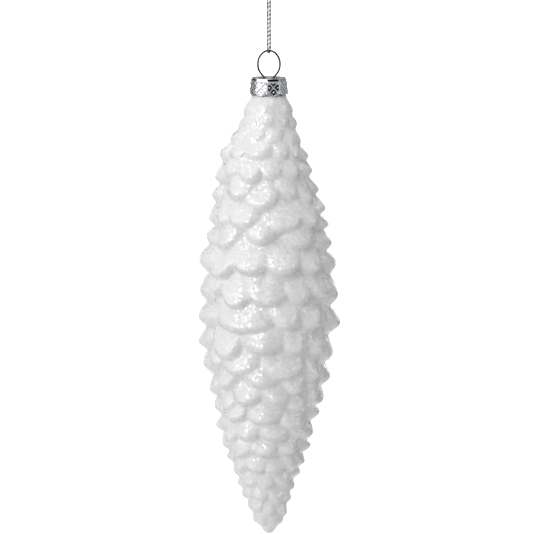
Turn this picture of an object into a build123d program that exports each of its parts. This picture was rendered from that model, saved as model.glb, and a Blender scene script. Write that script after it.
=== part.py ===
"""Glass pine-cone icicle ornament on a cord: hollow body, pressed cap, spring hanger wire, cord loop.

Millimetres, +Z up. The origin is the inside top of the cord loop, where a hook or twig goes through,
so the ornament hangs straight down below it. The ring of the hanger wire lies in the XZ plane, and
the ornament is looked at along +Y.
"""

import os
from math import cos, pi, radians, sin, tan

from build123d import *

# ---- driving dimensions -------------------------------------------------------------------
RING_TOP = -30.0  # centre of the wire at the top of the ring, where the cord holds it
RING_HALF = 3.62  # half width of the ring, to the wire's centre
RING_DEEP = 9.0  # height of the oval that the ring follows
WIRE = 0.66  # diameter of the hanger wire
WAIST_HALF = 1.6  # half distance between the two holes where the legs pass the cap
WAIST_TURN = 1.45  # half distance between the legs at the sharp turn in the holes
WAIST_DROP = 0.1  # how far that turn lies below the top of the cap
LEG_HALF = 3.6  # half spread of the legs inside the neck
LEG_FOOT_HALF = 2.7  # half distance between the ends of the legs
LEG_LENGTH = 14.5  # how far the legs reach below the top of the cap
LEG_BOW = 0.70  # where on their length the legs are widest apart
WIRE_BENDS = [3.0, 4.5, 4.5, 0.8, 1.2]  # bend radii from the ring's top down one side

CAP_TOP = RING_TOP - 8.8  # top face of the cap
CAP_HEIGHT = 5.9
CAP_TOP_RADIUS = 5.85
CAP_RIM_RADIUS = 6.5
CAP_SHEET = 0.35
CAP_BAND = 1.1  # plain band at the top of the skirt
CAP_EDGE = 0.3  # rounding of the edge round the top
CAP_LOBES = 9
CAP_TURN = -75.0  # angle of the first lobe, from +X
SCALLOP_DEPTH = 0.85
SCALLOP_SHARE = 0.42  # width of a notch in the rim over the width of a lobe
STUD_RAISE = 0.25  # how far the pressed lozenges stand out
STUD_SHARE = 0.6  # width of a lozenge over the width of a lobe
STUD_HALF = 1.9  # half height of a lozenge
STUD_ROOT = 0.35  # how deep a lozenge is rooted in the skirt
WIRE_HOLE = 1.2  # diameter of the two holes that the wire passes through

CORD = 0.7  # diameter of the cord
STRAND_HALF = 0.375  # half distance between the two strands
BIGHT_HALF = 0.84  # half distance between the strands where they pass the ring
BIGHT_DROP = 0.76  # how far the cord dips below the middle of the ring's wire
EYE_HALF = 2.2  # half width of the eye that takes the hook
KNOT_RADIUS = 1.7
KNOT_HEIGHT = 3.4
KNOT_FOOT = 0.4  # underside of the knot
KNOT_ROUND = 1.1  # rounding of both ends of the knot
TAIL_SPREAD = 0.6  # half distance between the tails where they leave the knot
TAIL_LENGTH = 3.0

SHOULDER = CAP_TOP - CAP_HEIGHT - 0.35  # where the glass swells out below the cap
NECK_RADIUS = 5.2  # outside of the neck
NECK_BORE = 4.3  # inside radius of the neck
NECK_PLAY = 0.15  # between the neck's rim and the underside of the cap
WALL = 0.8  # thickness of the blown glass in the grooves
SCALES_AROUND = 10
ROW_RATIO = 0.40  # height of a row of scales over the body's radius there
ROW_LEAST = 4.4  # height of the shortest rows, at both ends
RELIEF = 1.7  # how far the lip of a scale stands out from the row below it
RELIEF_FADE = 30.0  # stretch at the tip over which the relief grows
GROOVE_SHARE = 0.30  # half width of the groove between two scales over the width of a scale
OVERCUT = 0.3  # how far a cutting tool reaches past the surface that it opens
TIP_LENGTH = 4.4

# half width of the body, over the crests of the scales, against depth below the shoulder
PROFILE = [(0, 7.0), (8.6, 9.6), (14.6, 12.6), (19.6, 15.6), (27.6, 18.0), (40.6, 20.0), (54.6, 23.0), (74.6, 23.7),
           (84.6, 23.2), (97.6, 20.1), (113.6, 15.8), (128.6, 10.5), (136.6, 7.4), (141.6, 5.0)]
ROWS_LENGTH, LAST_RADIUS = PROFILE[-1]


def crest(depth):
    """Half width of the body at a depth below the shoulder."""
    for (upper, wide), (lower, narrow) in zip(PROFILE, PROFILE[1:]):
        if depth <= lower:
            return wide + (narrow - wide) * (depth - upper) / (lower - upper)
    return LAST_RADIUS


def row_depths():
    """Depths of the lips of the rows of scales, from the shoulder to the tip."""
    depths = [0.0]
    while depths[-1] < ROWS_LENGTH:
        depths.append(depths[-1] + max(ROW_LEAST, ROW_RATIO * crest(depths[-1])))
    return [depth * ROWS_LENGTH / depths[-1] for depth in depths]


def relief_at(depth):
    """How far a scale stands out at a depth: less on the small scales at the tip."""
    return RELIEF * min(1.0, 0.4 + (ROWS_LENGTH - depth) / RELIEF_FADE)


def facing(turn, distance):
    """Upright plane that faces outwards at an angle from +X; its y is the height."""
    out = (cos(radians(turn)), sin(radians(turn)), 0)
    return Plane((distance * out[0], distance * out[1], 0), x_dir=(-out[1], out[0], 0), z_dir=out)


def corner_radii(points):
    """Radius of the arc at each inner point of a route, as large as its two runs allow."""
    radii = []
    for before, here, after in zip(points, points[1:], points[2:]):
        run_in = Vector(*here) - Vector(*before)
        run_out = Vector(*after) - Vector(*here)
        half_turn = radians(run_in.get_angle(run_out)) / 2
        radii.append(0.45 * min(run_in.length, run_out.length) / tan(half_turn))
    return radii


# ---- glass body: saw-tooth rows turned in one piece, then split into scales by V grooves -----
LIPS = row_depths()
ROWS = list(zip(LIPS, LIPS[1:]))
outside, inside = [], []
for top, lip in ROWS:
    outside += [(crest(top) - relief_at(top), SHOULDER - top), (crest(lip), SHOULDER - lip)]
    inner_root = min(crest(top), crest(lip)) - relief_at(top) - 1.3 * WALL
    inside += [(inner_root, SHOULDER - top + WALL), (crest(lip) - relief_at(lip) - WALL, SHOULDER - lip + WALL)]
NECK_RIM = CAP_TOP - CAP_SHEET - NECK_PLAY
ROWS_END = SHOULDER - ROWS_LENGTH
TIP_RADIUS = LAST_RADIUS - 1.2

with BuildPart() as glass_body:
    with BuildSketch(Plane.XZ):
        with BuildLine():
            Polyline((TIP_RADIUS, ROWS_END), *reversed(outside[1:]), (NECK_RADIUS, SHOULDER),
                     (NECK_RADIUS, NECK_RIM), (0, NECK_RIM), (0, ROWS_END - TIP_LENGTH))
            Spline((0, ROWS_END - TIP_LENGTH), (TIP_RADIUS, ROWS_END), tangents=[(1, 0), (0.4, 1)])
        make_face()
    revolve(axis=Axis.Z)

    pitch = 360 / SCALES_AROUND
    for row, (top, lip) in enumerate(ROWS):
        groove_half = GROOVE_SHARE * radians(pitch) * crest(lip)
        with BuildSketch(Plane.XY.offset(SHOULDER - lip)):
            with PolarLocations(crest(lip), SCALES_AROUND, start_angle=pitch * (row % 2) / 2):
                Polygon((OVERCUT, -groove_half), (OVERCUT, groove_half), (-relief_at(lip), 0), align=None)
        extrude(amount=lip - top, mode=Mode.SUBTRACT)

    with BuildSketch(Plane.XZ):
        with BuildLine():
            Polyline((0, NECK_RIM), (NECK_BORE, NECK_RIM), (NECK_BORE, SHOULDER - 0.6), *inside[1:],
                     (0, ROWS_END), close=True)
        make_face()
    revolve(axis=Axis.Z, mode=Mode.SUBTRACT)
glass_body.part.label = "glass_body"

# ---- cap: spun shell, scalloped rim, pressed lozenges, two holes for the wire ----------------
with BuildPart() as cap:
    rim = CAP_TOP - CAP_HEIGHT
    with BuildSketch(Plane.XZ):
        with BuildLine():
            Polyline((0, CAP_TOP), (CAP_TOP_RADIUS, CAP_TOP), (CAP_TOP_RADIUS + 0.12, CAP_TOP - CAP_BAND),
                     (CAP_RIM_RADIUS, rim), (CAP_RIM_RADIUS - CAP_SHEET, rim),
                     (CAP_TOP_RADIUS - CAP_SHEET, CAP_TOP - CAP_SHEET), (0, CAP_TOP - CAP_SHEET), close=True)
        make_face()
    revolve(axis=Axis.Z)
    top_edge = cap.edges().filter_by(GeomType.CIRCLE).group_by(Axis.Z)[-1]
    fillet(top_edge, CAP_EDGE)

    lobe_half = CAP_RIM_RADIUS * sin(pi / CAP_LOBES)
    lozenge_centre = CAP_TOP - 0.60 * CAP_HEIGHT
    for lobe in range(CAP_LOBES):
        turn = CAP_TURN + 360 / CAP_LOBES * lobe
        with BuildSketch(facing(turn + 180 / CAP_LOBES, CAP_RIM_RADIUS - 1.5)):
            with BuildLine():
                Polyline((-SCALLOP_SHARE * lobe_half, rim - OVERCUT), (0, rim + SCALLOP_DEPTH),
                         (SCALLOP_SHARE * lobe_half, rim - OVERCUT), close=True)
            make_face()
        extrude(amount=3.0, mode=Mode.SUBTRACT)
        with BuildSketch(facing(turn, CAP_TOP_RADIUS + 0.05)):
            with BuildLine():
                Polyline((-STUD_SHARE * lobe_half, lozenge_centre), (0, lozenge_centre + STUD_HALF),
                         (STUD_SHARE * lobe_half, lozenge_centre), (0, lozenge_centre - STUD_HALF), close=True)
            make_face()
        extrude(amount=STUD_RAISE + STUD_ROOT)

    with BuildSketch(Plane.XY.offset(CAP_TOP + OVERCUT)):
        with Locations((-WAIST_HALF, 0), (WAIST_HALF, 0)):
            Circle(WIRE_HOLE / 2)
    extrude(amount=-(CAP_SHEET + 2 * OVERCUT), mode=Mode.SUBTRACT)
cap.part.label = "cap"

# ---- hanger wire: one spring wire bent to an omega, its legs spread inside the neck ----------
# The ring is an oval, given by the eight straight runs that touch it.
CORNER = tan(pi / 8)
LEG_WIDEST = CAP_TOP - LEG_BOW * LEG_LENGTH
wire_side = [(CORNER * RING_HALF, RING_TOP), (RING_HALF, RING_TOP - (1 - CORNER) * RING_DEEP / 2),
             (RING_HALF, RING_TOP - (1 + CORNER) * RING_DEEP / 2), (WAIST_TURN, CAP_TOP - WAIST_DROP),
             (LEG_HALF, LEG_WIDEST), (LEG_FOOT_HALF, CAP_TOP - LEG_LENGTH)]
wire_route = [(-x, z) for x, z in reversed(wire_side)] + wire_side

with BuildPart() as hanger_wire:
    with BuildLine(Plane.XZ):
        FilletPolyline(*wire_route, radius=WIRE_BENDS[::-1] + WIRE_BENDS)
    with BuildSketch(Plane((wire_route[0][0], 0, wire_route[0][1]),
                           z_dir=(wire_route[1][0] - wire_route[0][0], 0, wire_route[1][1] - wire_route[0][1]))):
        Circle(WIRE / 2)
    sweep()
hanger_wire.part.label = "hanger_wire"

# ---- cord: one strand down the front, round the ring's wire and up behind, knotted on top ----
# The strands lie side by side above the ring and turn a little where they part round its wire.
front_strand = [
    (-0.45, 0.0, 1.2),
    (-EYE_HALF, 0.1, -2.4),
    (-EYE_HALF + 0.1, -0.1, -6.0),
    (-STRAND_HALF, 0.0, -10.4),
    (-STRAND_HALF, 0.0, -25.6),
    (-STRAND_HALF - 0.02, -0.50, -28.4),
    (-0.34, -BIGHT_HALF, RING_TOP - BIGHT_DROP),
]
rear_strand = [(-x, -y, z) for x, y, z in reversed(front_strand)]
cord_route = front_strand + rear_strand
cord_radii = corner_radii(cord_route)
print("cord radii", [round(radius, 2) for radius in cord_radii])

with BuildPart() as hanging_cord:
    with BuildLine():
        cord_path = FilletPolyline(*cord_route, radius=cord_radii)
    with BuildSketch(Plane(cord_route[0], z_dir=Vector(*cord_route[1]) - Vector(*cord_route[0]))):
        Circle(CORD / 2)
    sweep()
hanging_cord.part.label = "hanging_cord"
cord_length = cord_path.length
print("cord length", round(cord_length, 2), "mm; volume over section times length",
      round(hanging_cord.part.volume / (cord_length * pi * CORD**2 / 4), 4))

# ---- knot: the rounded lump of the overhand knot with its two cut tails ---------------------
with BuildPart() as cord_knot:
    with BuildSketch(Plane.XY.offset(KNOT_FOOT)):
        Circle(KNOT_RADIUS)
    extrude(amount=KNOT_HEIGHT)
    fillet(cord_knot.edges().filter_by(GeomType.CIRCLE), KNOT_ROUND)
    for side in (-1, 1):
        tail_foot = (TAIL_SPREAD * side, 0, KNOT_FOOT + KNOT_HEIGHT - 1.0)
        with BuildSketch(Plane(tail_foot, z_dir=(0.35 * side, 0.12 * side, 1))):
            Circle(CORD / 2)
        extrude(amount=TAIL_LENGTH + 1.0)
cord_knot.part.label = "cord_knot"

os.makedirs("parts", exist_ok=True)
for node in (glass_body, cap, hanger_wire, hanging_cord, cord_knot):
    export_step(node.part, f"parts/{node.part.label}.step")
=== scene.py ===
"""Looks of the hanging pine-cone icicle ornament: moulded pearl glass, pressed cap, wire ring, twisted cord.

Lengths in this file are in millimetres in the object's own frame, and become metres when a mesh is made.
"""

import math

import bpy
import numpy as np
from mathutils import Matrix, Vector


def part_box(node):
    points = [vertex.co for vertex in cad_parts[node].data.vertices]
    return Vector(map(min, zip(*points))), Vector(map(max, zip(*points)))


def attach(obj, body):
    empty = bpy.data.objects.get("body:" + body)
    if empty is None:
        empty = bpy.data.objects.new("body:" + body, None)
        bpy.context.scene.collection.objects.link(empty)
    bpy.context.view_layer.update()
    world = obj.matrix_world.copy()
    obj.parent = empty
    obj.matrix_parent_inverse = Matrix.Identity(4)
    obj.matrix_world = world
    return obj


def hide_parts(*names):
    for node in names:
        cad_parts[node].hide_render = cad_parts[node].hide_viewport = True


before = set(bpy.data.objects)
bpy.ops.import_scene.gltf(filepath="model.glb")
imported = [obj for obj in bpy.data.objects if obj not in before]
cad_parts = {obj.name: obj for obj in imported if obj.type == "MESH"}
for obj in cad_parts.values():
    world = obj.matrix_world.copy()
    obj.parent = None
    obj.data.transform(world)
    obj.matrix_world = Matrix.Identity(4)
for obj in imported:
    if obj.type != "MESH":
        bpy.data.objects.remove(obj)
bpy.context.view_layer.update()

MM = 0.001
SEED = 11


def low_high(node):
    """Lowest and highest corner of a CAD node, in millimetres."""
    low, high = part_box(node)
    return np.array(low) / MM, np.array(high) / MM


GLASS_LOW, GLASS_HIGH = low_high("glass_body")
CAP_LOW, CAP_HIGH = low_high("cap")
WIRE_HIGH = low_high("hanger_wire")[1]


# ---- mesh helpers -------------------------------------------------------------------------
def new_mesh(name, points, faces, smooth=True):
    """Make an object from points in millimetres."""
    mesh = bpy.data.meshes.new(name)
    mesh.from_pydata((np.asarray(points, float) * MM).tolist(), [], faces)
    mesh.validate()
    mesh.update()
    if smooth:
        mesh.shade_smooth()
    piece = bpy.data.objects.new(name, mesh)
    bpy.context.scene.collection.objects.link(piece)
    return piece


def grid_faces(rows, columns, start=0, wrap=True):
    """Quads of a grid of rows by columns, closed round each row if wrap is set."""
    faces = []
    last = columns if wrap else columns - 1
    for row in range(rows - 1):
        here, there = start + row * columns, start + (row + 1) * columns
        for column in range(last):
            after = (column + 1) % columns
            faces.append((here + column, here + after, there + after, there + column))
    return faces


def smooth_curve(positions, points, blur):
    """Values along a line through (position, value) points, with its corners rounded over blur."""
    along, values = np.array(points, float).T
    samples = np.linspace(-1.0, 1.0, 13)
    weights = (1 - samples**2) ** 2
    total = sum(w * np.interp(positions + blur * s, along, values) for s, w in zip(samples, weights))
    return total / weights.sum()


# ---- camera and light ---------------------------------------------------------------------
FIELD = 176.3  # width of the view at the ornament
VIEW_DISTANCE = 2200.0
VIEW_TILT = math.radians(7.7)
AIM = Vector((-0.8, 0.0, WIRE_HIGH[2] - 72.1))
SENSOR = 36.0


def make_camera():
    """Camera a little above the ornament, looking straight at its front."""
    data = bpy.data.cameras.new("camera")
    data.sensor_width = SENSOR
    data.lens = SENSOR * VIEW_DISTANCE / FIELD
    data.clip_start, data.clip_end = 0.05, 20.0
    camera = bpy.data.objects.new("camera", data)
    bpy.context.scene.collection.objects.link(camera)
    back = Vector((0.0, -math.cos(VIEW_TILT), math.sin(VIEW_TILT)))
    camera.location = (AIM + back * VIEW_DISTANCE) * MM
    camera.rotation_euler = (math.pi / 2 - VIEW_TILT, 0.0, 0.0)
    bpy.context.scene.camera = camera


def area_light(name, place, size, power):
    """Soft box at a place in millimetres that faces the middle of the ornament."""
    data = bpy.data.lights.new(name, "AREA")
    data.shape = "RECTANGLE"
    data.size, data.size_y = size[0] * MM, size[1] * MM
    data.energy = power
    lamp = bpy.data.objects.new(name, data)
    bpy.context.scene.collection.objects.link(lamp)
    lamp.location = Vector(place) * MM
    lamp.rotation_euler = (AIM - Vector(place)).to_track_quat("-Z", "Y").to_euler()


SPOT_LOW = 430.0  # how far the middle of the backdrop's painted glow spot is below the origin
SPOT_INNER, SPOT_OUTER = 560.0, 1100.0  # where the spot starts to fade, and where it ends
PAPER_BACK, PAPER_FRONT = 3200.0, 2400.0  # how far the paper reaches behind and before the ornament
PAPER_DROP = 800.0  # the paper's floor is this far below the tip
PAPER_BEND, PAPER_WIDE, PAPER_RISE = 350.0, 5200.0, 4200.0


def paper_material():
    """White studio paper with painted light: it glows, dim on the floor and bright up the backdrop, brightest
    in a round spot.
    """
    material, nodes, links, shader = start_material("paper")
    place = nodes.new("ShaderNodeTexCoord").outputs["Object"]
    fibre = texture(nodes, links, "ShaderNodeTexNoise", 300.0, place, Detail=2.0)
    tint = colour_ramp(nodes, links, fibre.outputs["Fac"], [(0.0, (0.80,) * 3), (1.0, (0.83,) * 3)])
    links.new(tint.outputs["Color"], shader.inputs["Base Color"])
    shader.inputs["Roughness"].default_value = 0.9
    split = nodes.new("ShaderNodeSeparateXYZ")
    links.new(place, split.inputs[0])
    rise = spread(nodes, links, split.outputs["Y"], 0.5, 2.0)
    back = colour_ramp(nodes, links, rise, [(0.0, (0.22,) * 3), (1.0, (1.0,) * 3)])
    offset = nodes.new("ShaderNodeVectorMath")
    offset.operation = "MULTIPLY_ADD"
    links.new(place, offset.inputs[0])
    offset.inputs[1].default_value = (1.0, 0.0, 1.0)
    offset.inputs[2].default_value = (0.0, 0.0, SPOT_LOW * MM)
    reach = nodes.new("ShaderNodeVectorMath")
    reach.operation = "LENGTH"
    links.new(offset.outputs[0], reach.inputs[0])
    away = spread(nodes, links, reach.outputs["Value"], SPOT_INNER * MM, SPOT_OUTER * MM)
    middle = colour_ramp(nodes, links, away, [(0.0, (1.0,) * 3), (1.0, (0.25,) * 3)])
    glow = nodes.new("ShaderNodeMix")
    glow.data_type = "RGBA"
    glow.blend_type = "MULTIPLY"
    glow.inputs["Factor"].default_value = 1.0
    links.new(back.outputs["Color"], glow.inputs[6])
    links.new(middle.outputs["Color"], glow.inputs[7])
    # painted light: the paper's emission, dim on the floor, bright up the backdrop and in a spot behind the
    # ornament
    links.new(glow.outputs[2], shader.inputs["Emission Color"])
    shader.inputs["Emission Strength"].default_value = 1.1
    return material


def spread(nodes, links, value, low, high):
    """A value's place between low and high, from 0 to 1."""
    shift = nodes.new("ShaderNodeMapRange")
    shift.inputs["From Min"].default_value = low
    shift.inputs["From Max"].default_value = high
    links.new(value, shift.inputs["Value"])
    return shift.outputs["Result"]


def make_stage():
    """White paper sweep: a floor well below the ornament that curves up into a backdrop."""
    floor, foot, steps = GLASS_LOW[2] - PAPER_DROP, PAPER_BACK - PAPER_BEND, 12
    outline = [(-PAPER_FRONT, floor), (foot, floor)]
    for step in range(1, steps + 1):
        angle = math.pi / 2 * step / steps
        outline.append((foot + PAPER_BEND * math.sin(angle), floor + PAPER_BEND * (1 - math.cos(angle))))
    outline.append((PAPER_BACK, floor + PAPER_RISE))
    points = [(x, y, z) for y, z in outline for x in (-PAPER_WIDE / 2, PAPER_WIDE / 2)]
    sweep = new_mesh("paper_sweep", points, grid_faces(len(outline), 2, wrap=False))
    sweep.data.materials.append(paper_material())


def dark_card(name, turn, distance, height, size, shade):
    """Upright card that faces the ornament, for dark reflections; the camera doesn't see it."""
    material, _, _, shader = start_material(name)
    shader.inputs["Base Color"].default_value = (shade, shade, shade, 1.0)
    shader.inputs["Roughness"].default_value = 0.9
    shader.inputs["Specular IOR Level"].default_value = 0.0
    across = Vector((math.cos(turn), math.sin(turn), 0.0)) * (size[0] / 2)
    middle = Vector((math.sin(turn), -math.cos(turn), 0.0)) * distance
    middle.z = height
    up = Vector((0.0, 0.0, size[1] / 2))
    corners = [middle - across - up, middle + across - up, middle + across + up, middle - across + up]
    card = new_mesh(name, [tuple(corner) for corner in corners], [(0, 1, 2, 3)], smooth=False)
    card.data.materials.append(material)
    card.visible_camera = False


def make_cards():
    """Black and grey cards for the cap to mirror, and one behind each side of the glass."""
    dark_card("card_front_right", math.radians(32), 800.0, AIM.z + 420.0, (560.0, 1020.0), 0.01)
    dark_card("card_low", 0.0, 700.0, AIM.z - 520.0, (900.0, 180.0), 0.01)
    dark_card("card_back_top", math.radians(180), 900.0, CAP_HIGH[2] + 90.0, (700.0, 150.0), 0.28)
    dark_card("card_back_left", math.radians(-128), 900.0, AIM.z, (190.0, 900.0), 0.12)
    dark_card("card_back_right", math.radians(138), 900.0, AIM.z, (220.0, 900.0), 0.02)


def make_world():
    """Even white room light, a little darker to the right and below."""
    world = bpy.data.worlds.new("room")
    bpy.context.scene.world = world
    world.use_nodes = True
    nodes, links = world.node_tree.nodes, world.node_tree.links
    background = nodes["Background"]
    place = nodes.new("ShaderNodeTexCoord")
    split = nodes.new("ShaderNodeSeparateXYZ")
    links.new(place.outputs["Generated"], split.inputs[0])
    ramp = colour_ramp(nodes, links, split.outputs["X"],
                       [(0.0, (1.0, 1.0, 1.0)), (0.55, (0.80, 0.80, 0.82)), (1.0, (0.55, 0.55, 0.57))])
    links.new(ramp.outputs["Color"], background.inputs["Color"])
    background.inputs["Strength"].default_value = 0.57


# ---- materials ----------------------------------------------------------------------------
def start_material(name):
    """New node material: itself, its nodes, its links and its Principled shader."""
    material = bpy.data.materials.new(name)
    material.use_nodes = True
    nodes, links = material.node_tree.nodes, material.node_tree.links
    return material, nodes, links, nodes["Principled BSDF"]


def colour_ramp(nodes, links, source, stops):
    """Colour ramp with (position, colour) stops, driven by a socket."""
    ramp = nodes.new("ShaderNodeValToRGB")
    while len(ramp.color_ramp.elements) < len(stops):
        ramp.color_ramp.elements.new(0.5)
    for element, (position, colour) in zip(ramp.color_ramp.elements, stops):
        element.position = position
        element.color = (*colour, 1.0)
    links.new(source, ramp.inputs["Fac"])
    return ramp


def texture(nodes, links, kind, scale, place, **inputs):
    """Procedural texture of a kind and scale over the given coordinates."""
    node = nodes.new(kind)
    links.new(place, node.inputs["Vector"])
    node.inputs["Scale"].default_value = scale
    for name, value in inputs.items():
        node.inputs[name].default_value = value
    return node


def add_bump(nodes, links, shader, height, strength, distance):
    """Bump on a shader's normal, from a height socket."""
    bump = nodes.new("ShaderNodeBump")
    bump.inputs["Strength"].default_value = strength
    bump.inputs["Distance"].default_value = distance
    links.new(height, bump.inputs["Height"])
    links.new(bump.outputs["Normal"], shader.inputs["Normal"])
    return bump


def leaned_normal(nodes, links, flake, lean, bump):
    """Normal that leans at random from one flake of a cell texture to the next, on top of a bump."""
    centred = nodes.new("ShaderNodeVectorMath")
    centred.operation = "SUBTRACT"
    links.new(flake.outputs["Color"], centred.inputs[0])
    centred.inputs[1].default_value = (0.5, 0.5, 0.5)
    added = nodes.new("ShaderNodeVectorMath")
    added.operation = "MULTIPLY_ADD"
    links.new(centred.outputs[0], added.inputs[0])
    added.inputs[1].default_value = (lean, lean, lean)
    links.new(bump.outputs["Normal"], added.inputs[2])
    unit = nodes.new("ShaderNodeVectorMath")
    unit.operation = "NORMALIZE"
    links.new(added.outputs[0], unit.inputs[0])
    return unit.outputs[0]


def pearl_material():
    """Milky pearl lacquer with a coat of fine glitter: scattered glossy flakes that lean every way."""
    material, nodes, links, shader = start_material("pearl_glass")
    place = nodes.new("ShaderNodeTexCoord").outputs["Object"]
    cloud = texture(nodes, links, "ShaderNodeTexNoise", 1300.0, place, Detail=4.0, Roughness=0.7)
    tint = colour_ramp(nodes, links, cloud.outputs["Fac"],
                       [(0.32, (0.77, 0.77, 0.77)), (0.68, (0.88, 0.88, 0.885))])
    links.new(tint.outputs["Color"], shader.inputs["Base Color"])
    flake = texture(nodes, links, "ShaderNodeTexVoronoi", 1500.0, place)
    chance = nodes.new("ShaderNodeSeparateColor")
    links.new(flake.outputs["Color"], chance.inputs["Color"])
    rough = colour_ramp(nodes, links, chance.outputs["Blue"], [(0.70, (0.50,) * 3), (0.76, (0.16,) * 3)])
    links.new(rough.outputs["Color"], shader.inputs["Roughness"])
    shader.inputs["Coat Weight"].default_value = 1.0
    shader.inputs["Coat Roughness"].default_value = 0.09
    shader.inputs["Coat IOR"].default_value = 1.60
    shader.inputs["Subsurface Weight"].default_value = 0.10
    shader.inputs["Subsurface Radius"].default_value = (0.003, 0.003, 0.003)
    shader.inputs["Subsurface Scale"].default_value = 0.4
    ripple = texture(nodes, links, "ShaderNodeTexNoise", 1100.0, place, Detail=4.0)
    bump = add_bump(nodes, links, shader, ripple.outputs["Fac"], 0.6, 0.00012)
    links.new(leaned_normal(nodes, links, flake, 0.32, bump), shader.inputs["Normal"])
    links.new(leaned_normal(nodes, links, flake, 0.36, bump), shader.inputs["Coat Normal"])
    return material


def metal_material(name, dark, light, roughness, bump_scale, bump_depth, edge=1.0):
    """Bare or plated metal with faint cloudiness and fine scratches."""
    material, nodes, links, shader = start_material(name)
    place = nodes.new("ShaderNodeTexCoord").outputs["Object"]
    cloud = texture(nodes, links, "ShaderNodeTexNoise", 500.0, place, Detail=3.0)
    tint = colour_ramp(nodes, links, cloud.outputs["Fac"], [(0.3, dark), (0.7, light)])
    links.new(tint.outputs["Color"], shader.inputs["Base Color"])
    worn = colour_ramp(nodes, links, cloud.outputs["Fac"],
                       [(0.3, (roughness * 1.5,) * 3), (0.7, (roughness * 0.7,) * 3)])
    links.new(worn.outputs["Color"], shader.inputs["Roughness"])
    shader.inputs["Metallic"].default_value = 1.0
    shader.inputs["Specular Tint"].default_value = (edge, edge, edge, 1.0)
    scratch = texture(nodes, links, "ShaderNodeTexNoise", bump_scale, place, Detail=2.0)
    add_bump(nodes, links, shader, scratch.outputs["Fac"], 0.3, bump_depth)
    return material


def cord_material():
    """Silver lurex: bright metal flecks on grey thread."""
    material, nodes, links, shader = start_material("metallic_cord")
    place = nodes.new("ShaderNodeTexCoord").outputs["Object"]
    fleck = texture(nodes, links, "ShaderNodeTexVoronoi", 4200.0, place)
    tint = colour_ramp(nodes, links, fleck.outputs["Color"],
                       [(0.32, (0.05, 0.05, 0.07)), (0.60, (0.28, 0.28, 0.33)), (0.80, (0.90, 0.90, 0.94))])
    links.new(tint.outputs["Color"], shader.inputs["Base Color"])
    shine = colour_ramp(nodes, links, fleck.outputs["Color"],
                        [(0.3, (0.55, 0.55, 0.55)), (0.8, (0.22, 0.22, 0.22))])
    links.new(shine.outputs["Color"], shader.inputs["Roughness"])
    shader.inputs["Metallic"].default_value = 0.6
    shader.inputs["Specular Tint"].default_value = (0.4, 0.4, 0.4, 1.0)
    fibre = texture(nodes, links, "ShaderNodeTexNoise", 9000.0, place, Detail=2.0)
    add_bump(nodes, links, shader, fibre.outputs["Fac"], 0.5, 0.00003)
    return material


# ---- cord: two plies laid round the route's line ---------------------------------------------
STRAND_HALF = 0.375
FRONT_STRAND = [
    (-0.45, 0.0, 1.2),
    (-2.2, 0.1, -2.4),
    (-2.1, -0.1, -6.0),
    (-STRAND_HALF, 0.0, -10.4),
    (-STRAND_HALF - 0.01, 0.0, -14.8),
    (-STRAND_HALF, 0.0, -25.6),
    (-STRAND_HALF - 0.02, -0.50, -28.4),
    (-0.34, -0.84, -30.76),
]
CORD_ROUTE = FRONT_STRAND + [(-x, -y, z) for x, y, z in reversed(FRONT_STRAND)]
PLIES = 2
LAY_LENGTH = 2.7
PLY_RADIUS = 0.19
PLY_OFFSET = 0.165
FILAMENTS = 6


def nurbs_line(name, points):
    """Points along a smooth NURBS line that has these control points, in millimetres."""
    curve = bpy.data.curves.new(name, "CURVE")
    curve.dimensions = "3D"
    curve.resolution_u = 24
    spline = curve.splines.new("NURBS")
    spline.points.add(len(points) - 1)
    for point, place in zip(spline.points, points):
        point.co = (*[c * MM for c in place], 1.0)
    spline.order_u = 3
    spline.use_endpoint_u = True
    guide = bpy.data.objects.new(name, curve)
    bpy.context.scene.collection.objects.link(guide)
    bpy.context.view_layer.update()
    mesh = bpy.data.meshes.new_from_object(guide)
    line = np.array([v.co for v in mesh.vertices]) / MM
    bpy.data.objects.remove(guide)
    bpy.data.meshes.remove(mesh)
    return line


def even_steps(line, step):
    """The line's points again, a step apart."""
    along = np.concatenate([[0.0], np.cumsum(np.linalg.norm(np.diff(line, axis=0), axis=1))])
    where = np.linspace(0.0, along[-1], max(8, int(along[-1] / step)))
    return where, np.stack([np.interp(where, along, line[:, axis]) for axis in range(3)], axis=1)


def line_frames(line):
    """Two directions across the line at each point, carried along it without twist."""
    tangents = np.gradient(line, axis=0)
    tangents /= np.linalg.norm(tangents, axis=1)[:, None]
    across = np.cross(tangents[0], (0.3, 1.0, 0.1))
    sides = []
    for tangent in tangents:
        across = across - tangent * np.dot(across, tangent)
        across /= np.linalg.norm(across)
        sides.append(across)
    sides = np.array(sides)
    return sides, np.cross(tangents, sides)


def twisted_cord(name, line, scale=1.0):
    """Mesh of plies twisted round a line, each with the ridges of its filaments."""
    along, centre = even_steps(line, 0.09)
    first, second = line_frames(centre)
    around = np.linspace(0.0, 2 * math.pi, 14, endpoint=False)
    points, faces = [], []
    for ply in range(PLIES):
        turn = 2 * math.pi * (along / LAY_LENGTH + ply / PLIES)
        core = centre + scale * PLY_OFFSET * (np.cos(turn)[:, None] * first + np.sin(turn)[:, None] * second)
        ridge = 1.0 + 0.10 * np.cos(FILAMENTS * (around[None, :] - 1.7 * turn[:, None]))
        radius = scale * PLY_RADIUS * ridge
        ring = (core[:, None, :] + (radius * np.cos(around))[:, :, None] * first[:, None, :]
                + (radius * np.sin(around))[:, :, None] * second[:, None, :])
        start = len(points)
        points += ring.reshape(-1, 3).tolist()
        faces += grid_faces(len(along), len(around), start)
        faces.append(tuple(range(start, start + len(around)))[::-1])
        end = start + (len(along) - 1) * len(around)
        faces.append(tuple(range(end, end + len(around))))
    piece = new_mesh(name, points, faces)
    return piece, centre, along[-1]


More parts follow.
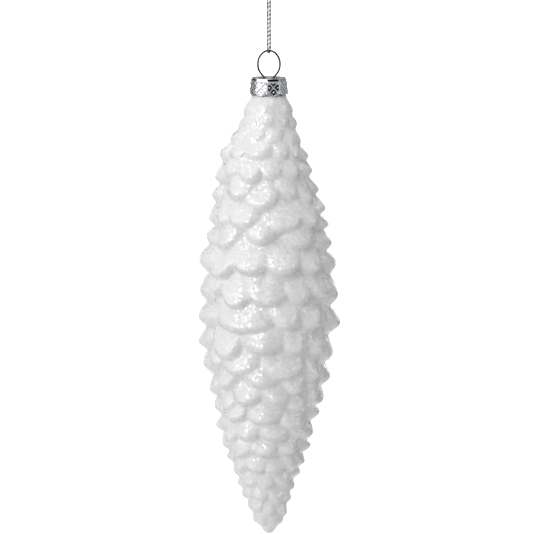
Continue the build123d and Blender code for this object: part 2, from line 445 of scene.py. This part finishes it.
def make_cord(material):
    """The doubled cord from the knot down through the ring and back up to the knot."""
    piece, centre, length = twisted_cord("twisted_cord", nurbs_line("cord_route", CORD_ROUTE))
    piece.data.materials.append(material)
    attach(piece, "cord")
    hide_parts("hanging_cord")
    return piece, centre, length


KNOT_ROUTE = [
    (-0.40, 0.10, 0.6), (-0.25, 0.25, 2.2), (0.75, 0.45, 3.35), (1.15, -0.55, 2.75), (0.10, -1.20, 2.05),
    (-1.15, -0.55, 1.75), (-0.95, 0.75, 1.45), (0.35, 1.10, 1.30), (1.10, 0.10, 1.60), (0.40, -0.75, 2.40),
    (-0.30, -0.20, 3.40), (-0.75, 0.00, 4.60), (-1.15, -0.15, 6.00),
]


def make_knot(material):
    """Overhand knot in the doubled cord: both strands follow one tight wrap and leave as tails."""
    pieces = []
    for name, side in (("knot_strand_left", 1), ("knot_strand_right", -1)):
        route = [(side * x, side * y, z) for x, y, z in KNOT_ROUTE]
        piece, _, _ = twisted_cord(name, nurbs_line(name + "_route", route), scale=0.95)
        piece.data.materials.append(material)
        pieces.append(piece)
    knot, other = pieces
    with bpy.context.temp_override(active_object=knot, selected_editable_objects=pieces):
        bpy.ops.object.join()
    knot.name = "overhand_knot"
    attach(knot, "cord")
    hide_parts("cord_knot")
    return knot


# ---- cap ------------------------------------------------------------------------------------
CAP_LOBES = 9
LOBE_TURN = math.radians(15.0)  # middle of the first lobe, from the front to the right
CAP_COLUMNS = 64 * CAP_LOBES
CAP_SHEET = 0.25
CAP_TOP_RADIUS, CAP_RIM_RADIUS = 5.85, 6.5
CAP_FLATNESS = 0.88  # 0 for a round skirt, 1 for one with flat sides
SCALLOP_DEPTH = 1.05
BAND = 1.1  # plain band at the top of the skirt
LATTICE_WIDE, LATTICE_HIGH = 1.40, 1.50  # half diagonals of the pressed lozenges
LINE_HALF = 0.08
PRESS_HEIGHT = 0.22
HEM_HIGH = 0.30  # plain strip between the pattern and the rim
CREASE_DEPTH = 0.10  # how far the skirt is drawn in between two lobes
CAP_BEND = 0.45  # radius of the fold from the top into the skirt
WIRE_HOLES = 1.6  # from the middle of the cap to each hole
HOLE_RADIUS = 0.60


def ridge(distance, half):
    """Round ridge over a distance from its middle line."""
    return np.exp(-((distance / half) ** 2))


def pressed_pattern(across, height):
    """Height of the pressed pattern: a lattice of lozenges with a bead in each."""
    first = across / LATTICE_WIDE + height / LATTICE_HIGH
    second = across / LATTICE_WIDE - height / LATTICE_HIGH
    gap = 0.5 * LATTICE_HIGH
    lines = [ridge(gap * ((way + 1) % 2 - 1), LINE_HALF) for way in (first, second)]
    bead_first, bead_second = (first % 2) - 1, (second % 2) - 1
    bead = 0.8 * ridge(np.hypot(bead_first, bead_second), 0.18)
    return np.maximum(np.maximum(*lines), bead)


def cap_rows():
    """Surface of the cap as radius and height arrays, from the middle of the top round the rim to inside."""
    turn = np.linspace(0, 2 * math.pi, CAP_COLUMNS, endpoint=False)
    lobe = 2 * math.pi / CAP_LOBES
    local = (turn - LOBE_TURN + lobe / 2) % lobe - lobe / 2
    side = np.abs(local) / (lobe / 2)
    flat = 1 - CAP_FLATNESS * (1 - math.cos(lobe / 2) / np.cos(local))
    top, rim = CAP_HIGH[2], CAP_LOW[2]
    low = rim + SCALLOP_DEPTH * side**1.1
    rows = []
    for reach in (0.3, 1.0, 1.6, 2.2, 2.8, 3.4, 4.0, 4.4, 4.7, 4.9, 5.1):
        dish = 0.14 * (1 - ridge(np.array(reach - 4.7), 0.22)) - 0.10 * ridge(np.array(reach - 0.0), 1.3)
        rows.append((np.full(CAP_COLUMNS, reach), np.full(CAP_COLUMNS, top - 0.03 - float(dish))))
    bend = CAP_BEND
    for angle in np.linspace(0.12, 1.0, 9) * math.pi / 2:
        reach = (CAP_TOP_RADIUS - bend * (1 - math.sin(angle))) * (1 - (1 - flat) * math.sin(angle))
        rows.append((reach, np.full(CAP_COLUMNS, top - 0.03 - bend * (1 - math.cos(angle)))))
    for along in np.linspace(0.02, 1.0, 84):
        height = (top - bend) + along * (low - (top - bend))
        slope = (top - height) / (top - rim)
        reach = (CAP_TOP_RADIUS + (CAP_RIM_RADIUS - CAP_TOP_RADIUS) * slope) * flat
        pattern = pressed_pattern(reach * local, height - rim)
        pattern *= np.clip((top - BAND - height) / 0.25, 0, 1)
        pattern *= np.clip((height - low - HEM_HIGH) / 0.2, 0, 1)
        hem = ridge(height - low - 0.16, 0.14) + 0.7 * ridge(height - (top - BAND), 0.13)
        crease = ridge(side - 1, 0.06)
        rows.append((reach + PRESS_HEIGHT * np.maximum(pattern, hem) - CREASE_DEPTH * crease, height))
    for reach, height in reversed(rows[2:]):
        inset = np.clip((top - 0.1 - height) / 0.3, 0, 1)
        rows.append((reach - CAP_SHEET * inset, np.minimum(height, top - CAP_SHEET)))
    return turn, rows


def make_cap(material):
    """Pressed and plated cap: closed sheet with a scalloped skirt and two holes for the wire."""
    turn, rows = cap_rows()
    points = [np.stack([reach * np.sin(turn), -reach * np.cos(turn), height], axis=1)
              for reach, height in rows]
    faces = [face[::-1] for face in grid_faces(len(rows), CAP_COLUMNS)]
    last = (len(rows) - 1) * CAP_COLUMNS
    faces.append(tuple(range(CAP_COLUMNS)))
    faces.append(tuple(range(last, last + CAP_COLUMNS))[::-1])
    cap = new_mesh("pressed_cap", np.concatenate(points), faces)
    cut_holes(cap)
    cap.data.materials.append(material)
    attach(cap, "cap")
    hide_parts("cap")


def cut_holes(cap):
    """Cut the two holes that the hanger wire goes through, and keep the result as the cap's own mesh."""
    for side in (-1, 1):
        bpy.ops.mesh.primitive_cylinder_add(vertices=32, radius=HOLE_RADIUS * MM, depth=2.0 * MM,
                                            location=(side * WIRE_HOLES * MM, 0.0, CAP_HIGH[2] * MM))
        drill = bpy.context.object
        cut = cap.modifiers.new("hole", "BOOLEAN")
        cut.operation = "DIFFERENCE"
        cut.solver = "EXACT"
        cut.object = drill
        with bpy.context.temp_override(object=cap, active_object=cap):
            bpy.ops.object.modifier_apply(modifier=cut.name)
        bpy.data.objects.remove(drill)


# ---- glass body ---------------------------------------------------------------------------
SHOULDER = CAP_LOW[2] - 0.95  # depths are counted from here
SHOULDER_TOP = 0.9  # how far the swell of the glass begins above it, just under the cap
NECK_RADIUS, BORE_RADIUS = 5.2, 4.3
GLASS_WALL = 0.9
BODY_DEPTH = SHOULDER - GLASS_LOW[2]
COLUMNS = 600
OUTER_ROWS = 800
SHARPNESS = 5.0  # per millimetre: how crisp the creases between scales are
SOFTNESS = 0.42  # millimetres over which the glass rounds every edge
SCALE_RATIO = 0.50  # length of a scale over the body's radius there
SHORTEST_SCALE = 6.4
SOFT_ABOVE = 52.0  # depth above which the scales get softer towards the cap
SIDE_HALF = 23.0  # half width in degrees of the scales down both sides, where the body is wide
SIDE_WIDE, WIDEST_HALF = 5.5, 36.0  # where it is narrow they are at least this wide, up to this many degrees
SIDE_STAGGER = 15.0  # angle between one such scale and the next
SIDE_TURN = 85.0  # angle of those scales from the front: the view sees them a little from above their middle

# tips of the scales down each side: depth below the shoulder, half width there
LEFT_TIPS = [(4.0, 8.5), (8.8, 10.2), (12.4, 12.7), (17.7, 16.4), (25.8, 18.2), (31.5, 19.0), (39.2, 20.3),
             (45.5, 20.9), (52.9, 23.6), (64.0, 23.1), (71.8, 23.7), (80.8, 23.6), (87.7, 22.3), (97.3, 20.0),
             (102.3, 18.4), (108.8, 17.8), (114.9, 15.9), (119.6, 14.1), (124.3, 12.2), (128.3, 10.6),
             (132.0, 9.3), (136.0, 7.2), (141.0, 5.2)]
RIGHT_TIPS = [(3.6, 8.0), (8.2, 9.3), (13.4, 10.8), (19.1, 13.3), (23.2, 14.6), (29.8, 16.6), (35.8, 19.1),
              (41.8, 20.1), (47.0, 21.0), (54.6, 22.6), (64.6, 23.4), (74.4, 23.7), (84.4, 21.6),
              (92.5, 20.7), (100.2, 18.5), (104.4, 17.0), (111.5, 14.8), (115.7, 13.9), (120.9, 12.2),
              (125.0, 10.6), (129.2, 8.8), (133.3, 7.6), (138.3, 6.1), (141.6, 4.6)]
TOP_END = [(-0.9, 5.9), (0.2, 6.8)]
TIP_END = [(143.0, 3.2), (145.6, 2.1)]
TIP_ROUND = 2.0  # stretch at the very tip that is rounded off
# height of the scales over the ground between them, against depth
RELIEFS = [(0, 0.5), (5, 0.9), (10, 1.5), (15, 2.0), (20, 2.5), (30, 3.0), (50, 3.4), (65, 3.9), (85, 3.8),
           (97, 3.3), (110, 2.7), (125, 2.1), (135, 1.5), (141, 1.0), (146, 0.5)]

# rings of scales on the front: angle from the front to the right, depth where the lip is seen from a little
# above, half width in degrees
RINGS = [
    [(-50, 6.8, 26), (-6, 6.4, 26), (42, 5.6, 26)],
    [(-46, 11.6, 22), (-2, 10.7, 20), (40, 10.8, 22)],
    [(-56, 15.0, 16), (-24, 16.0, 20), (18, 16.0, 18), (52, 17.0, 17)],
    [(-46, 21.2, 18), (-8, 21.4, 21), (27, 21.4, 16), (54, 21.0, 13)],
    [(-50, 27.6, 15), (-20, 29.4, 16), (10, 28.4, 15), (42, 28.0, 16)],
    [(-35, 35.4, 19), (-6, 38.8, 20), (29, 34.4, 15), (54, 36.6, 12)],
    [(-55, 43.0, 11), (-30, 44.8, 19), (18, 45.6, 21), (50, 43.8, 14)],
    [(-46, 51.2, 16), (-8, 50.0, 18), (36, 51.0, 18)],
    [(-47, 61.0, 14), (-17, 59.6, 20), (16, 60.6, 17), (45, 59.4, 14)],
    [(-55, 66.5, 11), (-32, 71.0, 15), (-3, 70.3, 19), (29, 69.6, 14), (53, 68.0, 12)],
    [(-28, 78.9, 31), (15, 78.0, 15), (42, 78.0, 14)],
    [(-43, 88.4, 16), (-4, 86.2, 19), (27, 86.7, 13), (51, 87.2, 12)],
    [(-55, 91.0, 11), (-29, 93.8, 20), (17, 94.8, 21), (50, 94.8, 13)],
    [(-48, 97.8, 15), (-7, 97.4, 20), (28, 99.6, 13), (54, 101.0, 12)],
    [(-52, 105.0, 13), (-23, 103.1, 17), (9, 103.2, 16), (38, 105.4, 15)],
    [(-44, 108.4, 18), (-3, 109.4, 21), (38, 111.0, 18)],
    [(-54, 115.4, 13), (-26, 114.6, 18), (11, 114.8, 20), (48, 113.6, 16)],
    [(-42, 120.4, 20), (-4, 120.2, 20), (34, 119.4, 20)],
    [(-52, 125.2, 16), (-20, 125.4, 19), (14, 125.8, 19), (48, 124.6, 18)],
    [(-40, 130.2, 22), (-2, 130.8, 20), (36, 130.0, 21)],
    [(-52, 134.4, 20), (-16, 135.0, 21), (24, 135.6, 22), (56, 134.4, 16)],
    [(-38, 138.8, 25), (8, 139.6, 25), (48, 139.0, 22)],
    [(-40, 143.0, 34), (30, 143.4, 34)],
]


def tip_line(tips, depths, blur):
    """Half width of one side of the body at depths, from the tips of its scales."""
    return smooth_curve(depths, TOP_END + tips + TIP_END, blur)


def crest_line(depths):
    """Mean half width of the body over the tips of its scales."""
    return 0.5 * (tip_line(LEFT_TIPS, depths, 2.5) + tip_line(RIGHT_TIPS, depths, 2.5))


def bow_line(depths):
    """How far the middle of the body lies to the right at depths: blown glass is never quite straight."""
    return 0.5 * (tip_line(RIGHT_TIPS, depths, 9.0) - tip_line(LEFT_TIPS, depths, 9.0))


def ground_line(depths):
    """Radius of the ground between the scales."""
    return crest_line(depths) - 0.96 * smooth_curve(depths, RELIEFS, 2.0)


def at_depth(line, depth):
    """One value of a line that is made for arrays of depths."""
    return float(line(np.array([depth]))[0])


def sight_slope(depth):
    """Slope of the view at a depth: a lip on the front is seen lower by this much of its radius."""
    return 0.108 + 0.00045 * depth


def side_scales(rng):
    """Scales down the two sides, which make the outline: each reaches its tip and ends in a notch."""
    scales = []
    for side, tips in ((-1, LEFT_TIPS), (1, RIGHT_TIPS)):
        for index, (depth, reach) in enumerate(tips):
            above = tips[index - 1][0] if index else depth - 4.5
            below = tips[index + 1][0] if index + 1 < len(tips) else depth + 3.0
            upper, lower = 0.62 * (depth - above), 0.46 * (below - depth)
            radius = reach - side * at_depth(bow_line, depth)
            turn = SIDE_TURN + SIDE_STAGGER * (index % 2 - 0.5) + rng.uniform(-2.0, 2.0)
            half = min(WIDEST_HALF, max(SIDE_HALF, math.degrees(SIDE_WIDE / radius)))
            scales.append(dict(angle=side * turn, lip=depth + lower, length=upper + lower,
                               half=half * rng.uniform(0.92, 1.08),
                               relief=radius - at_depth(ground_line, depth), crest=lower / (upper + lower),
                               keel=rng.uniform(0.05, 0.35), tilt=rng.uniform(-0.1, 0.1),
                               slant=rng.uniform(-0.08, 0.08), round_off=rng.uniform(0.26, 0.40),
                               fullness=0.7))
    return scales


def face_scales(rng, turn, wander):
    """The listed scales of one face, turned round the body and moved a little at random."""
    scales = []
    for ring in RINGS:
        for angle, lip, half in ring:
            seen_low = sight_slope(lip) * at_depth(crest_line, lip) * math.cos(math.radians(angle))
            place = lip - seen_low + wander * rng.uniform(-1.0, 1.0)
            radius = at_depth(crest_line, place)
            relief = float(smooth_curve(np.array([place - 2.0]), RELIEFS, 1.5)[0])
            soft = min(1.0, max(0.0, (SOFT_ABOVE - lip) / 35.0))
            scales.append(dict(angle=angle + turn + 2.5 * wander * rng.uniform(-1.0, 1.0), lip=place,
                               length=max(SHORTEST_SCALE, SCALE_RATIO * radius) * rng.uniform(0.94, 1.10),
                               half=half, relief=relief * (1 - 0.30 * soft) * rng.uniform(0.92, 1.06),
                               crest=rng.uniform(0.21, 0.29) + 0.20 * soft, keel=rng.uniform(0.20, 0.72),
                               tilt=rng.uniform(-0.22, 0.22), slant=rng.uniform(-0.12, 0.12),
                               round_off=rng.uniform(0.28, 0.42) - 0.10 * soft, fullness=0.2))
    return scales


def add_scale(total, angles, depths, angle, lip, length, half, relief, crest, keel, tilt,
              slant, round_off, fullness):
    """Add one scale to the running soft maximum: a keeled shield, highest a little above its rounded lip."""
    rows = np.where((depths > lip - 1.4 * length) & (depths < lip + 0.5))[0]
    turn = (angles - angle + 180) % 360 - 180
    columns = np.where(np.abs(turn) < 1.2 * half)[0]
    across = (turn[columns] / (1.15 * half))[None, :]
    edge = np.minimum(np.abs(across), 1.0)
    lip_line = lip - length * (round_off * edge**2.1 + slant * across)
    up = (lip_line - depths[rows][:, None]) / length
    under = np.sin(0.5 * math.pi * np.clip(up / crest, 0, 1)) ** 0.9
    above = np.clip((up - crest) / (1 - crest), 0, 1)
    over = fullness * np.cos(0.5 * math.pi * above) + (1 - fullness) * (1 - above) ** 1.2
    roof = 1 - keel * (np.sqrt(edge**2 + 0.03) - 0.17)
    height = relief * np.where(up < crest, under, over) * (1 - edge**2.6) ** 0.65 * roof * (1 + tilt * across)
    total[np.ix_(rows, columns)] += np.where(up < 0, 0.0, np.exp(SHARPNESS * height) - 1)


def ripples(points, wave, height, rng):
    """Gentle uneven waves over points in space, about a wave length long and a height high."""
    count = 24
    total = np.zeros(points.shape[:-1])
    for _ in range(count):
        way = rng.normal(size=3)
        way *= 2 * math.pi / (wave * rng.uniform(0.7, 1.5) * np.linalg.norm(way))
        total += np.sin(points @ way + rng.uniform(0, 2 * math.pi))
    return height * total / math.sqrt(count / 2)


def soften(field, rows, columns):
    """Blur a field by a bell of so many rows and columns, closed round each row."""
    for axis, spread in ((0, rows), (1, columns)):
        reach = int(3 * spread) + 1
        steps = np.arange(-reach, reach + 1)
        weights = np.exp(-0.5 * (steps / spread) ** 2)
        if axis:
            padded = np.pad(field, ((0, 0), (reach, reach)), mode="wrap")
            parts = [w * padded[:, reach + s: reach + s + field.shape[1]] for s, w in zip(steps, weights)]
        else:
            padded = np.pad(field, ((reach, reach), (0, 0)), mode="edge")
            parts = [w * padded[reach + s: reach + s + field.shape[0]] for s, w in zip(steps, weights)]
        field = sum(parts) / weights.sum()
    return field


def glass_surface(rng):
    """Depth of each row and radius of the outside of the glass at each row and column."""
    depths = np.linspace(BODY_DEPTH - 0.02, -SHOULDER_TOP, OUTER_ROWS)
    angles = np.linspace(-180, 180, COLUMNS, endpoint=False)
    total = np.ones((len(depths), len(angles)))
    for scale in side_scales(rng) + face_scales(rng, 0, 0.0) + face_scales(rng, 180, 1.0):
        add_scale(total, angles, depths, **scale)
    radius = ground_line(depths)[:, None] + np.log(total) / SHARPNESS
    row_step, column_step = (BODY_DEPTH + SHOULDER_TOP) / OUTER_ROWS, 2 * math.pi * 15.0 / COLUMNS
    radius = soften(radius, SOFTNESS / row_step, SOFTNESS / column_step)
    turn = np.radians(angles)[None, :]
    height = np.broadcast_to(depths[:, None], radius.shape)
    place = np.stack([radius * np.sin(turn), -radius * np.cos(turn), height], axis=-1)
    calm = np.clip(depths / 25.0, 0.2, 1)[:, None]
    radius = radius + calm * (ripples(place, 6.5, 0.10, rng) + ripples(place, 2.6, 0.015, rng))
    end = np.clip((BODY_DEPTH - depths) / TIP_ROUND, 0, 1)[:, None]
    return depths, angles, np.maximum(radius, 0.05) * np.sqrt(1 - (1 - end) ** 2)


def make_glass(material):
    """Closed shell of the body: scales outside, neck, rim, bore and a plain inside."""
    rng = np.random.default_rng(SEED)
    depths, angles, radius = glass_surface(rng)
    turn = np.radians(angles)
    rings = [(row, SHOULDER - depth, bow) for row, depth, bow in zip(radius, depths, bow_line(depths))]
    neck, bore, rim = NECK_RADIUS, BORE_RADIUS, GLASS_HIGH[2]
    foot = SHOULDER + SHOULDER_TOP
    for reach, height in ((neck + 0.3, foot + 0.2), (neck, foot + 0.5), (neck, rim - 0.35),
                          (neck - 0.1, rim - 0.1), (neck - 0.35, rim), (bore + 0.3, rim),
                          (bore + 0.08, rim - 0.12), (bore, rim - 0.4), (bore, SHOULDER - 0.2)):
        rings.append((np.full(len(turn), reach), height, 0.0))
    inner_depths = np.linspace(2.0, BODY_DEPTH - 6.0, 60)
    inside = np.maximum(0.6, ground_line(inner_depths) - GLASS_WALL)
    for depth, reach, bow in zip(inner_depths, inside, bow_line(inner_depths)):
        rings.append((np.full(len(turn), reach), SHOULDER - depth, bow))
    across, away = np.sin(turn), -np.cos(turn)
    points = [np.stack([bow + reach * across, reach * away, np.full_like(turn, height)], axis=1)
              for reach, height, bow in rings]
    ends = len(rings) * COLUMNS
    first_bow, last_bow = rings[0][2], rings[-1][2]
    points = np.concatenate(points + [[(first_bow, 0.0, GLASS_LOW[2]), (last_bow, 0.0, rings[-1][1] - 0.4)]])
    faces = grid_faces(len(rings), COLUMNS)
    last = (len(rings) - 1) * COLUMNS
    for column in range(COLUMNS):
        after = (column + 1) % COLUMNS
        faces.append((ends, after, column))
        faces.append((ends + 1, last + column, last + after))
    glass = new_mesh("moulded_glass", points, faces)
    glass.data.materials.append(material)
    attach(glass, "glass")
    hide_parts("glass_body")
    return glass


# ---- assembly -----------------------------------------------------------------------------
def finish_cad_nodes(materials):
    """Give the CAD nodes that stay their materials."""
    for node, material in materials.items():
        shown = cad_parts[node]
        shown.data.materials.clear()
        shown.data.materials.append(material)


bpy.context.scene.view_settings.view_transform = "Standard"
make_camera()
cord_finish = cord_material()
cord, cord_line, cord_length = make_cord(cord_finish)
knot = make_knot(cord_finish)
make_stage()
make_cards()
make_world()
area_light("key", (-540, -820, 420), (240, 280), 2.7)
area_light("soft_left", (-780, -720, 160), (640, 1200), 3.2)
area_light("fill", (1000, -300, 60), (300, 900), 1.7)
area_light("top", (-100, -100, 800), (700, 600), 1.7)
make_glass(pearl_material())
make_cap(metal_material("silver_cap", (0.54, 0.55, 0.57), (0.72, 0.73, 0.75), 0.04, 1500.0, 0.00001))
finish_cad_nodes({
    "hanger_wire": metal_material("spring_wire", (0.04, 0.04, 0.045), (0.11, 0.11, 0.12), 0.17,
                                  3000.0, 0.00002, edge=0.12),
})
